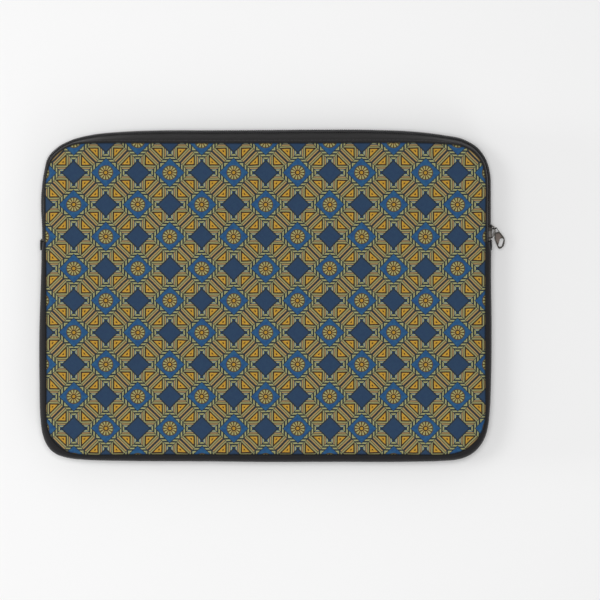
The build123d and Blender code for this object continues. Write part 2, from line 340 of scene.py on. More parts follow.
def print_material():
    """Canvas with a printed lattice, uneven threads, light fuzz and a shadowed seam."""
    net = Net("printed_canvas")
    x, y = net.uv("flat")
    colour = lattice_colour(net, x, y)
    weave = weave_height(net, x, y, pitch=0.42)
    slub = net.noise((x * 0.35, y * 5.0), scale=1.0, detail=2.0)
    cross_slub = net.noise((x * 5.0, y * 0.35), scale=1.0, detail=2.0)
    tone = 0.815 + 0.195 * weave + (slub - 0.5) * 0.18 + (cross_slub - 0.5) * 0.18
    broad = net.noise((x, y), scale=0.012, detail=2.0)
    tone = tone * (0.96 + broad * 0.10)
    # painted shade: the print darkens into the seam groove at its edge
    tone = tone * net.painted_seam_shade(floor=0.30, start=0.1, end=1.3)
    fuzz = net.step(net.noise((x, y), scale=2.4, detail=4.0), start=0.60, end=0.85)
    colour = net.mix(fuzz * 0.06, colour, (150, 150, 140))
    net.surface(net.scale(colour, tone), net.remap(weave, source=(0.0, 1.0), target=(0.92, 0.74)),
                sheen=0.12, specular=0.25)
    lump = net.noise((x, y), scale=0.9)
    net.bump(weave * 0.8 + lump * 0.5 + slub * 0.3, distance=0.00010, strength=0.75)
    return net.material


def webbing_material(name, base, light, rib, paint_seam_shade=True):
    """Ribbed woven tape; UV "band" holds millimetres along and across, rib is its pitch; by
    default it gets painted seam shade along its edges.
    """
    net = Net(name)
    along, across = net.uv("band")
    ribs = 0.5 + 0.5 * net.sin(across * (2 * math.pi / rib))
    # threads 0.5 mm apart, shifted by a quarter turn from rib to rib
    threads = net.abs(net.sin(along * (math.pi / 0.5) + 1.5707 * net.round(across / rib)))
    height = ribs * 0.7 + threads * 0.3
    slub = net.noise((along * 0.18, across * 3.2), scale=1.0)
    fine = net.noise((along, across), scale=2.2)
    broad = net.noise((along * 0.03, across * 0.2), scale=1.0, detail=2.0)
    colour = net.fade(base, light, height * 0.55 + slub * 0.45, start=0.30, end=0.72)
    colour = net.scale(colour, 0.88 + broad * 0.22 + (fine - 0.5) * 0.25)
    lint = net.step(net.noise((along, across), scale=1.1, detail=5.0, rough=0.7),
                    start=0.69, end=0.80)
    colour = net.mix(lint * 0.12, colour, (150, 150, 148))
    # painted shade: the webbing darkens into the seams at its edges
    if paint_seam_shade:
        colour = net.scale(colour, net.painted_seam_shade(floor=0.40, start=0.0, end=1.3))
    net.surface(colour, 0.80, sheen=0.10, specular=0.3)
    net.bump(height * 0.75 + fine * 0.3, distance=0.00012, strength=0.8)
    return net.material


def coil_material():
    net = Net("coil_nylon")
    position = net.position()
    grain = net.noise(position, scale=900.0)
    broad = net.noise(position, scale=40.0, detail=2.0)
    colour = net.scale(net.mix(grain, (30, 29, 31), (50, 49, 51)), 0.85 + broad * 0.3)
    net.surface(colour, net.remap(grain, source=(0.3, 0.7), target=(0.34, 0.52)))
    net.bump(grain, distance=0.00003, strength=0.5)
    return net.material


def thread_material():
    net = Net("sewing_thread")
    position = net.position()
    x, y, z = net.split(position)
    # twist stripes; factors in radians per metre
    twist = net.sin((x + y) * 9000.0 + z * 7000.0)
    grain = net.noise(position, scale=1500.0, detail=2.0)
    colour = net.mix(twist * 0.5 + 0.5, (26, 26, 28), (54, 53, 56))
    net.surface(colour, 0.62 + grain * 0.1, sheen=0.15, specular=0.4)
    net.bump(twist * 0.5 + grain * 0.4, distance=0.00004, strength=0.6)
    return net.material


def metal_material(name, dark, light, rough, wear, recess=None):
    """Dark plating with brighter rubbed edges and fine scratches.

    recess = (normal, offset, depth, colour) tints what lies nearer than depth to a plane;
    its lengths are in metres.
    """
    net = Net(name)
    position = net.position()
    x, y, z = net.split(position)
    geometry = net.node("ShaderNodeNewGeometry")
    pointiness = Value(net, geometry.outputs["Pointiness"])
    scratch = net.noise((x * 900.0, y * 260.0, z * 900.0), scale=1.0, rough=0.6)
    brushed = net.noise((x * 3600.0, y * 420.0, z * 3600.0), scale=1.0, detail=2.0)
    blotch = net.noise(position, scale=320.0)
    edge = net.step(pointiness, start=0.50, end=0.57)
    colour = net.fade(dark, light, blotch, start=0.3, end=0.7)
    if recess:
        (normal_x, normal_y, normal_z), offset, depth, tint = recess
        soft = 0.00004      # metres, half width of the tint's border
        distance = net.abs(x * normal_x + y * normal_y + z * normal_z - offset)
        floor_mask = 1.0 - net.step(distance, start=depth - soft, end=depth + soft)
        lighter = tuple(level + 10 for level in tint)
        colour = net.mix(floor_mask, colour, net.fade(tint, lighter, blotch, start=0.3, end=0.7))
    rubbed = edge * wear + net.step(scratch, start=0.64, end=0.76) * 0.18
    colour = net.mix(net.min(rubbed, 1.0), colour, (120, 116, 110))
    net.surface(colour, net.remap(brushed + blotch * 0.5, source=(0.4, 1.1),
                                  target=(rough, rough + 0.2)), metallic=0.9)
    net.bump(brushed * 0.6 + blotch * 0.4 + scratch * 0.5, distance=0.00003, strength=0.4)
    return net.material


def plush_material():
    net = Net("pile_lining")
    x, y = net.uv("flat")
    pile = net.noise((x, y), scale=1.9, detail=4.0, rough=0.65)
    nap = net.noise((x * 0.03, y * 0.06), scale=1.0)
    cell = net.voronoi((x, y), scale=1.3)
    colour = net.fade((38, 38, 41), (58, 58, 63), nap, start=0.36, end=0.64)
    colour = net.scale(colour, 0.72 + pile * 0.55 - cell * 0.15)
    net.surface(colour, 0.94, sheen=0.55, specular=0.15)
    net.bump(pile + (1.0 - cell) * 0.35, distance=0.00028, strength=0.8)
    return net.material


def foam_material():
    net = Net("cell_foam")
    position = net.position()
    cell = net.voronoi(position, scale=1100.0)
    broad = net.noise(position, scale=240.0)
    colour = net.scale(net.mix(cell, (58, 58, 61), (96, 96, 100)), 0.85 + broad * 0.3)
    net.surface(colour, 0.95, specular=0.2)
    net.bump(cell, distance=0.00015, strength=0.7)
    return net.material


def label_material():
    net = Net("blank_satin_label")
    x, y = net.uv("flat")
    weave = weave_height(net, x, y, pitch=0.22)
    broad = net.noise((x, y), scale=0.7)
    colour = net.scale(net.mix(weave, (196, 193, 184), (224, 221, 212)), 0.90 + broad * 0.14)
    net.surface(colour, net.remap(broad, source=(0.3, 0.7), target=(0.42, 0.6)),
                sheen=0.2, specular=0.4)
    net.bump(weave, distance=0.00004, strength=0.6)
    return net.material


def floor_material():
    net = Net("pale_floor")
    position = net.position()
    broad = net.noise(position, scale=3.0)
    grain = net.noise(position, scale=420.0, detail=2.0)
    net.surface(net.mix(broad, (240, 240, 240), (243, 243, 243)), 0.85 + grain * 0.08,
                specular=0.1)
    return net.material


def tab_recess():
    """The pull tab's middle plane in its node's own coordinates, in metres."""
    world_normal = Vector((0.05381151, -0.20082727, 0.9781476))
    world_centre = Vector((0.17901796, 0.0524, 0.01292584))
    to_local = nodes["pull_tab"].matrix_world.inverted()
    turn = nodes["pull_tab"].matrix_world.to_3x3().inverted()
    normal = (turn @ world_normal).normalized()
    offset = float((to_local @ world_centre).dot(normal))
    depth = 0.00034
    return tuple(normal), offset, depth, (100, 91, 86)


MATERIALS = {
    "print": print_material(),
    "band": webbing_material("edge_webbing", base=(13, 12, 14), light=(25, 24, 27), rib=0.85),
    "tape": webbing_material("zip_tape_weave", base=(24, 23, 24), light=(41, 40, 41), rib=0.70),
    "binding": webbing_material("binding_tape", base=(36, 36, 38), light=(58, 57, 60), rib=0.6,
                                paint_seam_shade=False),
    "coil": coil_material(),
    "thread": thread_material(),
    "zip_metal": metal_material("black_nickel", dark=(20, 19, 20), light=(33, 32, 32),
                                rough=0.34, wear=0.22),
    "pull": metal_material("gunmetal", dark=(44, 43, 40), light=(58, 56, 52),
                           rough=0.30, wear=0.20, recess=tab_recess()),
    "lining": plush_material(),
    "foam": foam_material(),
    "label": label_material(),
}

# ------------------------------------------------------------------ mesh helpers


def add_uv(mesh, name, values):
    """UV map from one (u, v) per vertex."""
    index = np.zeros(len(mesh.loops), np.int32)
    mesh.loops.foreach_get("vertex_index", index)
    layer = mesh.uv_layers.new(name=name)
    layer.data.foreach_set("uv", np.asarray(values, np.float32)[index].ravel())


def make_object(name, verts, faces, material, uvs=None, edge_mm=None, smooth=True):
    """Object from verts in mm; uvs is {name: (n, 2)} and edge_mm is (n,), per vertex."""
    mesh = bpy.data.meshes.new(name)
    faces = [tuple(int(i) for i in face) for face in faces]
    mesh.from_pydata((np.asarray(verts, float) * MM).tolist(), [], faces)
    mesh.validate(verbose=False)
    for key, values in (uvs or {}).items():
        add_uv(mesh, key, values)
    if edge_mm is not None:
        attribute = mesh.attributes.new("edge_mm", "FLOAT", "POINT")
        attribute.data.foreach_set("value", np.asarray(edge_mm, np.float32))
    if smooth:
        mesh.polygons.foreach_set("use_smooth", [True] * len(mesh.polygons))
    mesh.update()
    ob = bpy.data.objects.new(name, mesh)
    bpy.context.scene.collection.objects.link(ob)
    mesh.materials.append(material)
    return ob


def thread_object(name, parts):
    return make_object(name, *join_arrays(parts), MATERIALS["thread"])


def grid_faces(rows, columns, base=0, flip=False):
    faces = []
    for i in range(rows - 1):
        for j in range(columns - 1):
            first = base + i * columns + j
            face = (first, first + columns, first + columns + 1, first + 1)
            faces.append(face[::-1] if flip else face)
    return faces


def unit_rows(vectors):
    return vectors / np.linalg.norm(vectors, axis=1, keepdims=True)


def grid_differences(grid):
    """Central differences along the first axis, one-sided at both ends."""
    diff = np.zeros_like(grid)
    diff[1:-1] = grid[2:] - grid[:-2]
    diff[0] = grid[1] - grid[0]
    diff[-1] = grid[-1] - grid[-2]
    return diff


def grid_normals(grid):
    along = grid_differences(grid)
    across = grid_differences(grid.swapaxes(0, 1)).swapaxes(0, 1)
    normals = np.cross(along, across)
    return normals / np.maximum(np.linalg.norm(normals, axis=2, keepdims=True), 1e-9)


def arc_len(points):
    steps = np.linalg.norm(np.diff(points, axis=0), axis=1)
    return np.concatenate([[0], np.cumsum(steps)])


def interp_columns(at, known, values):
    return np.stack([np.interp(at, known, column) for column in values.T], 1)


def shell(name, middle, thickness, material, out=1.0, edges="both"):
    """Closed sheet of cloth around a middle grid (along, across, 3).

    out is the sign that turns the grid's normals outward. edges tells which long
    edges edge_mm is measured from: "both", "first" or "none".
    """
    rows, columns, _ = middle.shape
    normals = grid_normals(middle) * out
    half = thickness / 2
    verts = np.concatenate([(middle + normals * half).reshape(-1, 3),
                            (middle - normals * half).reshape(-1, 3)])
    under = rows * columns
    faces = grid_faces(rows, columns) + grid_faces(rows, columns, under, flip=True)
    for i in range(rows - 1):
        a, b = i * columns, (i + 1) * columns
        faces.append((a, under + a, under + b, b))
        a, b = a + columns - 1, b + columns - 1
        faces.append((a, b, under + b, under + a))
    for j in range(columns - 1):
        faces.append((j, j + 1, under + j + 1, under + j))
        k = (rows - 1) * columns + j
        faces.append((k, under + k, under + k + 1, k + 1))
    if out < 0:
        faces = [face[::-1] for face in faces]
    width = arc_len(middle[rows // 2])
    along, across = np.meshgrid(arc_len(middle[:, columns // 2]), width, indexing="ij")
    uv = np.stack([along.ravel(), across.ravel()], 1)
    edge = {"both": np.minimum(across, width[-1] - across),
            "first": across,
            "none": np.full_like(across, 9.0)}[edges].ravel()
    return make_object(name, verts, faces, material, {"band": np.concatenate([uv, uv])},
                       np.concatenate([edge, edge]))


def tube_arrays(path, radius, sides, side_dir, up_radius=None, squareness=1.0):
    """Swept ring (verts, faces) with capped ends.

    side_dir is the direction per point that the ring's first axis leans to. Radii are
    one number or one per point; a squareness exponent below 1 squares the section.
    """
    path = np.asarray(path, float)
    count = len(path)
    tangent = np.gradient(path, axis=0)
    tangent /= np.maximum(np.linalg.norm(tangent, axis=1, keepdims=True), 1e-12)
    side = side_dir - (side_dir * tangent).sum(1, keepdims=True) * tangent
    side /= np.maximum(np.linalg.norm(side, axis=1, keepdims=True), 1e-12)
    up = np.cross(tangent, side)
    radius = np.broadcast_to(radius, (count,))
    up_radius = radius if up_radius is None else np.broadcast_to(up_radius, (count,))
    angle = np.arange(sides) * 2 * math.pi / sides
    cosine, sine = [np.sign(c) * np.abs(c) ** squareness for c in (np.cos(angle), np.sin(angle))]
    verts = (path[:, None, :]
             + side[:, None, :] * (cosine[None, :, None] * radius[:, None, None])
             + up[:, None, :] * (sine[None, :, None] * up_radius[:, None, None]))
    faces = []
    for i in range(count - 1):
        a, b = i * sides, (i + 1) * sides
        for j in range(sides):
            k = (j + 1) % sides
            faces.append((a + j, a + k, b + k, b + j))
    faces.append(tuple(range(sides))[::-1])
    faces.append(tuple((count - 1) * sides + j for j in range(sides)))
    return verts.reshape(-1, 3), faces


def join_arrays(parts):
    all_verts, all_faces, offset = [], [], 0
    for verts, faces in parts:
        all_verts.append(verts)
        all_faces += [tuple(i + offset for i in face) for face in faces]
        offset += len(verts)
    return np.concatenate(all_verts), all_faces


def smooth_noise(x, y, seed, scale):
    """Deterministic undulation, about -1..1, with waves about scale mm long."""
    random = np.random.RandomState(seed)
    total = np.zeros_like(x, float)
    for _ in range(9):
        angle = random.uniform(0, math.pi)
        freq = random.uniform(0.6, 1.9) / scale * 2 * math.pi
        wave = (x * math.cos(angle) + y * math.sin(angle)) * freq
        total += np.sin(wave + random.uniform(0, 6.28)) / 9 * 1.8
    return total


def stitch_row(base, normal, length=2.6, gap=0.55, radius=0.17, lift=0.10):
    """Short raised stitches along a path."""
    heights = np.array([-0.16, 0.03, 0.09, 0.11, 0.09, 0.03, -0.16]) + lift
    radii = np.array([0.55, 0.9, 1.0, 1.0, 1.0, 0.9, 0.55]) * radius
    distance = arc_len(base)
    start = 0.6
    parts = []
    while start + length < distance[-1]:
        at = start + np.linspace(0, 1, 7) * length
        points = interp_columns(at, distance, base)
        up = unit_rows(interp_columns(at, distance, normal))
        parts.append(tube_arrays(points + up * heights[:, None], radii, 6, up))
        start += length + gap
    return parts


# ------------------------------------------------------------------ stations round the case
# Both runs go anticlockwise seen from +z, and end where the other begins.

# outer x, outer y, seam x, seam y, coil height above the middle, tape slope at the coil (degrees)
ZIP_STATIONS = [
    (175.0, 41.8, 170.1, 41.8, 1.15, 90), (175.0, 45.0, 170.1, 45.0, 1.18, 90),
    (175.0, 47.5, 170.1, 47.5, 1.28, 90), (175.0, 50.0, 170.1, 50.0, 1.60, 90),
    (175.0, 52.5, 170.2, 52.5, 1.82, 90), (175.0, 57.0, 170.2, 57.0, 1.90, 90),
    (175.0, 70.0, 170.4, 70.0, 1.95, 90), (175.0, 82.0, 170.5, 82.0, 2.00, 89),
    (174.6, 94.0, 169.7, 93.6, 2.10, 86), (171.6, 105.5, 167.4, 102.6, 2.40, 80),
    (164.9, 115.1, 161.5, 110.6, 2.90, 72), (153.7, 121.9, 151.8, 116.0, 3.60, 62),
    (137.4, 125.3, 136.2, 117.9, 4.30, 54), (114.0, 128.0, 113.6, 118.8, 4.80, 48),
    (84.0, 129.2, 83.9, 118.8, 5.10, 45), (42.0, 129.4, 42.0, 118.6, 5.20, 45),
    (0.0, 129.1, 0.0, 118.5, 5.20, 45), (-42.0, 128.9, -42.0, 118.5, 5.20, 45),
    (-84.0, 128.8, -84.0, 118.6, 5.10, 45), (-113.3, 127.7, -113.2, 118.7, 4.80, 48),
    (-135.1, 125.5, -134.4, 118.4, 4.30, 54), (-151.3, 121.4, -149.9, 116.9, 3.60, 62),
    (-162.4, 115.6, -159.2, 111.9, 2.90, 72), (-169.6, 108.1, -165.8, 105.2, 2.40, 80),
    (-172.6, 97.7, -169.4, 96.4, 2.10, 86), (-174.6, 84.1, -171.0, 83.6, 2.00, 89),
    (-175.2, 70.0, -171.0, 70.0, 1.95, 90), (-174.6, 57.0, -170.9, 57.0, 1.90, 90),
    (-174.4, 52.5, -170.9, 52.5, 1.82, 90), (-174.4, 50.0, -170.9, 50.0, 1.60, 90),
    (-174.4, 47.5, -170.8, 47.5, 1.28, 90), (-174.4, 45.0, -170.8, 45.0, 1.18, 90),
    (-174.4, 41.8, -170.8, 41.8, 1.15, 90),
]
# outer x, outer y, seam x, seam y
GUSSET_STATIONS = [
    (-174.4, 41.8, -170.8, 41.8), (-174.4, 28.0, -170.5, 28.0), (-175.0, 5.0, -170.3, 5.0),
    (-176.0, -30.0, -170.2, -30.0), (-175.9, -65.0, -170.1, -65.0),
    (-175.1, -95.3, -170.0, -95.3), (-174.5, -101.6, -169.5, -100.7),
    (-173.3, -107.9, -167.9, -105.8), (-171.0, -114.1, -165.4, -110.6),
    (-167.2, -119.6, -162.1, -114.7), (-161.7, -123.4, -158.0, -118.2),
    (-155.3, -125.4, -153.3, -120.7), (-149.1, -126.5, -148.2, -122.3),
    (-142.9, -127.0, -142.9, -122.8), (-105.0, -128.1, -105.0, -122.8),
    (-50.0, -128.4, -50.0, -122.8), (0.0, -128.9, 0.0, -122.8), (55.0, -128.8, 55.0, -122.8),
    (104.0, -128.8, 104.0, -122.8), (139.2, -127.9, 139.2, -122.8),
    (146.1, -127.4, 145.2, -122.2), (153.0, -125.9, 151.0, -120.5),
    (159.4, -122.9, 156.3, -117.7), (164.8, -118.2, 161.0, -113.9),
    (168.8, -112.3, 164.8, -109.3), (171.4, -105.8, 167.7, -104.0),
    (172.8, -99.1, 169.4, -98.3), (173.5, -92.4, 170.0, -92.4), (174.9, -60.0, 170.0, -60.0),
    (175.2, -20.0, 170.0, -20.0), (174.8, 15.0, 170.0, 15.0), (174.9, 30.0, 170.1, 30.0),
    (175.0, 41.8, 170.1, 41.8),
]


def refine(rows, step):
    """Catmull-Rom through the stations by chord length, resampled evenly."""
    rows = np.array(rows, float)
    chord = np.maximum(np.linalg.norm(np.diff(rows[:, :2], axis=0), axis=1), 1e-6)
    knots = np.concatenate([[0], np.cumsum(chord)])
    count = max(2, int(round(knots[-1] / step)) + 1)
    slope = np.zeros_like(rows)
    slope[0] = (rows[1] - rows[0]) / chord[0]
    slope[-1] = (rows[-1] - rows[-2]) / chord[-1]
    for i in range(1, len(rows) - 1):
        a, b = chord[i - 1], chord[i]
        slope[i] = ((rows[i] - rows[i - 1]) / a * b + (rows[i + 1] - rows[i]) / b * a) / (a + b)
    out = np.zeros((count, rows.shape[1]))
    for k, place in enumerate(np.linspace(0, knots[-1], count)):
        i = min(max(int(np.searchsorted(knots, place) - 1), 0), len(chord) - 1)
        h = chord[i]
        u = (place - knots[i]) / h
        out[k] = ((2 * u ** 3 - 3 * u ** 2 + 1) * rows[i]
                  + (u ** 3 - 2 * u ** 2 + u) * h * slope[i]
                  + (-2 * u ** 3 + 3 * u ** 2) * rows[i + 1]
                  + (u ** 3 - u ** 2) * h * slope[i + 1])
    return out


class Rim:
    """A refined run of stations, with the direction and width from seam to outer edge."""

    def __init__(self, rows, step):
        self.stations = refine(rows, step)
        self.outer = self.stations[:, 0:2]
        self.seam = self.stations[:, 2:4]
        offset = self.outer - self.seam
        self.width = np.linalg.norm(offset, axis=1)
        self.outward = offset / self.width[:, None]
        self.count = len(self.stations)

    def point(self, i, r, z):
        """Point at station i, with r measured outward from the outer edge."""
        x, y = self.seam[i] + self.outward[i] * (self.width[i] + r)
        return (x, y, z)

    def outward_3d(self):
        return np.column_stack([self.outward, np.zeros(self.count)])


zip_rim = Rim(ZIP_STATIONS, step=1.6)
gusset_rim = Rim(GUSSET_STATIONS, step=1.8)


def even_outline(spacing):
    """The closed seam line as evenly spaced points."""
    loop = np.concatenate([zip_rim.seam[:-1], gusset_rim.seam[:-1]])
    closed = np.concatenate([loop, loop[:1]])
    distance = arc_len(closed)
    count = int(distance[-1] / spacing)
    return interp_columns(np.arange(count) * distance[-1] / count, distance, closed)


outline = even_outline(spacing=2.6)
outline_next = np.roll(outline, -1, 0)

# ------------------------------------------------------------------ panel sheet


def inset_outline(distance):
    along = unit_rows(outline_next - np.roll(outline, 1, 0))
    return outline + np.stack([-along[:, 1], along[:, 0]], 1) * distance


def edge_distance(points):
    """Distance of each point from the seam, worked out in chunks."""
    edge = outline_next - outline
    length2 = (edge ** 2).sum(1)
    out = np.full(len(points), 1e9)
    for i in range(0, len(points), 800):
        chunk = points[i:i + 800][:, None, :]
        t = np.clip(((chunk - outline[None]) * edge[None]).sum(2) / length2[None], 0, 1)
        nearest = outline[None] + t[..., None] * edge[None]
        out[i:i + 800] = np.sqrt(((chunk - nearest) ** 2).sum(2)).min(1)
    return out


def inside_outline(points):
    inside = np.zeros(len(points), bool)
    for a, b in zip(outline, outline_next):
        spans = (a[1] > points[:, 1]) != (b[1] > points[:, 1])
        cross_x = (b[0] - a[0]) * (points[:, 1] - a[1]) / (b[1] - a[1] + 1e-12) + a[0]
        inside ^= spans & (points[:, 0] < cross_x)
    return inside


def sheet_mesh(spacing, rings):
    """Triangulated sheet inside the seam: (verts, faces, boundary indices in order)."""
    grid_x = np.arange(-176, 176, spacing)
    grid_y = np.arange(-126, 124, spacing * 0.866)
    points = np.concatenate([
        np.stack([grid_x + (spacing / 2 if j % 2 else 0), np.full(len(grid_x), y)], 1)
        for j, y in enumerate(grid_y)])
    points = points[inside_outline(points)]
    points = points[edge_distance(points) > rings[-1] + spacing * 0.55]
    points = np.concatenate([outline] + [inset_outline(ring) for ring in rings] + [points])
    count = len(outline)
    edges = [(i, (i + 1) % count) for i in range(count)]
    result = delaunay_2d_cdt([Vector(p) for p in points.tolist()], edges, [], 1, 1e-5)
    verts = np.array([(v.x, v.y) for v in result[0]])
    where = {source: k for k, sources in enumerate(result[3]) for source in sources}
    border = [where[i] for i in range(count)]
    faces = []
    for face in result[2]:
        a, b, c = verts[face[0]], verts[face[1]], verts[face[2]]
        area = (b[0] - a[0]) * (c[1] - a[1]) - (b[1] - a[1]) * (c[0] - a[0])
        faces.append(tuple(face) if area > 0 else tuple(face)[::-1])
    return verts, faces, border


sheet_xy, sheet_faces, sheet_border = sheet_mesh(spacing=4.2, rings=(0.7, 1.7, 3.2, 5.4, 8.2))
seam_distance = edge_distance(sheet_xy)


def slab(name, top, bottom, material):
    """Closed slab between two heights over the panel sheet."""
    count = len(sheet_xy)
    verts = np.concatenate([np.column_stack([sheet_xy, top]),
                            np.column_stack([sheet_xy, bottom])])
    faces = sheet_faces + [tuple(i + count for i in face[::-1]) for face in sheet_faces]
    for a, b in zip(sheet_border, sheet_border[1:] + sheet_border[:1]):
        faces.append((a, a + count, b + count, b))
    return make_object(name, verts, faces, MATERIALS[material],
                       {"flat": np.concatenate([sheet_xy, sheet_xy])},
                       np.concatenate([seam_distance, seam_distance]))


def puff(z, cap, pressure, frames=20):
    """Rise of the sheet, pinned at its seam, as cloth under pressure; moves are capped."""
    start = np.column_stack([sheet_xy, z]) * MM
    mesh = bpy.data.meshes.new("tmp_cloth")
    mesh.from_pydata(start.tolist(), [], sheet_faces)
    ob = bpy.data.objects.new("tmp_cloth", mesh)
    scene = bpy.context.scene
    scene.collection.objects.link(ob)
    pins = ob.vertex_groups.new(name="pin")
    pins.add([int(i) for i in sheet_border], 1.0, "REPLACE")
    cloth = ob.modifiers.new("Cloth", "CLOTH")
    settings = cloth.settings
    settings.quality = 5
    settings.mass = 0.25
    settings.tension_stiffness = 12
    settings.compression_stiffness = 12
    settings.shear_stiffness = 6
    settings.bending_stiffness = 0.6
    settings.use_pressure = True
    settings.uniform_pressure_force = pressure
    settings.shrink_min = -0.004
    settings.effector_weights.gravity = 0
    settings.vertex_group_mass = "pin"
    cloth.collision_settings.use_self_collision = False
    cloth.point_cache.frame_start = 1
    cloth.point_cache.frame_end = frames
    for number in range(1, frames + 1):
        scene.frame_set(number)
    evaluated = ob.evaluated_get(bpy.context.evaluated_depsgraph_get())
    end = np.zeros(len(z) * 3)
    evaluated.data.vertices.foreach_get("co", end)
    move = (end.reshape(-1, 3) - start) / MM
    bpy.data.objects.remove(ob)
    bpy.data.meshes.remove(mesh)
    scene.frame_set(1)
    # a simulation that blew up leaves the sheet as it was
    if not np.isfinite(move).all():
        return np.zeros(len(z))
    size = np.linalg.norm(move, axis=1)
    return move[:, 2] * np.minimum(1.0, cap / np.maximum(size, 1e-9))


# ------------------------------------------------------------------ panels, foam, linings
LAYER_GAP = 0.06
LINING_THICK = 0.62

soft = smooth_noise(sheet_xy[:, 0], sheet_xy[:, 1], seed=5, scale=95.0)
dimple = smooth_noise(sheet_xy[:, 0], sheet_xy[:, 1], seed=11, scale=38.0)
fade_in = np.clip(seam_distance / 14.0, 0, 1)       # relief grows away from the seam
swell = np.abs(soft * fade_in)                      # uneven thickness of the linings

# front: seam height 24.75, rising 1 mm to the crown within a few millimetres
front_crown = 1.0 - np.exp(-seam_distance / 3.6)
front_top = 24.75 + 1.0 * front_crown + fade_in * (soft * 0.28 + dimple * 0.09)
front_top = (front_top + puff(front_top, cap=0.55, pressure=1.2)
             * np.clip(seam_distance / 3.0, 0, 1))
front_foam_bottom = 22.2 + 0.15 * dimple * fade_in
front_lining_top = front_foam_bottom - 0.07
front_panel = slab("front_panel", front_top, front_top - CLOTH_THICK, "print")
front_foam = slab("front_foam", front_top - CLOTH_THICK - LAYER_GAP, front_foam_bottom, "foam")
front_lining = slab("front_lining", front_lining_top,
                    front_lining_top - LINING_THICK - 0.21 * swell, "lining")

# back: lifted 1.25 mm at the seam, almost down to the floor inside
back_bottom = (1.25 - 1.05 * (1.0 - np.exp(-seam_distance / 3.0))
               - 0.2 * np.clip(seam_distance / 9.0, 0, 1))
back_bottom = np.maximum(back_bottom, 0.02)
back_foam_top = 3.80 - 0.12 * dimple * fade_in
back_lining_bottom = back_foam_top + LAYER_GAP
back_panel = slab("back_panel", back_bottom + CLOTH_THICK, back_bottom, "print")
back_foam = slab("back_foam", back_foam_top, back_bottom + CLOTH_THICK + LAYER_GAP, "foam")
back_lining = slab("back_lining", back_lining_bottom + LINING_THICK + 0.3 * swell,
                   back_lining_bottom, "lining")

# ------------------------------------------------------------------ gusset
SHOULDER_SEAM_Z = 24.8      # where the outer band meets the front seam
WALL_TOP_Z = 18.0           # where its shoulder turns into the straight wall
WALL_HEIGHT = 2 * WALL_TOP_Z - THICK

gusset_along = arc_len(gusset_rim.outer)
gusset_ends = np.clip(np.minimum(gusset_along, gusset_along[-1] - gusset_along) / 9.0, 0, 1)
gusset_ends = gusset_ends * gusset_ends * (3 - 2 * gusset_ends)     # 0 at the ends, smooth


def gusset_grid(profile):
    """profile(i) gives the (r, z) points of station i."""
    return np.array([[gusset_rim.point(i, r, z) for r, z in profile(i)]
                     for i in range(gusset_rim.count)])


def outer_profile(i):
    """Front shoulder, wall and back shoulder; the band sinks in at its two ends."""
    width, along = gusset_rim.width[i], gusset_along[i]
    x, y = gusset_rim.outer[i]
    sink = 0.85 * (1 - gusset_ends[i])
    wrinkle = 0.22 * math.sin(along * 0.11) + 0.16 * math.sin(along * 0.29 + 1.0)
    corner = math.exp(-((abs(x) - 165) / 22.0) ** 2) * math.exp(-((y + 118) / 26.0) ** 2)
    shoulder = []
    for degrees in np.linspace(0, 90, 11):
        sine, cosine = math.sin(math.radians(degrees)), math.cos(math.radians(degrees))
        r = -width + 0.12 + (width - 0.52 - sink) * sine ** 0.92
        z = SHOULDER_SEAM_Z - (SHOULDER_SEAM_Z + 0.1 - WALL_TOP_Z) * (1 - cosine ** 0.9)
        z -= 0.25 * math.exp(-(degrees / 14.0) ** 2)
        shoulder.append((r, z))
    wall = []
    for f in (0.25, 0.5, 0.75):
        bulge = (0.10 * math.sin(math.pi * f) + 0.12 * wrinkle
                 + 0.18 * corner * math.sin(along * 0.9))
        wall.append((-0.42 - sink + bulge, WALL_TOP_Z - WALL_HEIGHT * f))
    return shoulder + wall + [(r, max(THICK - z, 0.45)) for r, z in reversed(shoulder)]


def foam_profile(i):
    top = 20.8
    return [(-2.15, z) for z in np.linspace(top, THICK - top, 13)]


def lining_profile(i):
    top = 21.2
    sway = 0.12 * math.sin(gusset_along[i] * 0.23)
    return [(-3.55 - sway * math.sin((z - 5) / 16 * math.pi), z)
            for z in np.linspace(top, THICK - top, 15)]


gusset_outer = shell("gusset_outer", gusset_grid(outer_profile), CLOTH_THICK, MATERIALS["band"])
gusset_foam = shell("gusset_foam", gusset_grid(foam_profile), 1.9, MATERIALS["foam"],
                    edges="none")
gusset_lining = shell("gusset_lining", gusset_grid(lining_profile), 0.55, MATERIALS["binding"],
                      edges="none")

# ------------------------------------------------------------------ zip tapes and coils
COIL_INSET = 1.4        # coil centre line, inside the outer edge
COIL_PITCH = 1.45
COIL_SEGMENTS = 14      # per turn


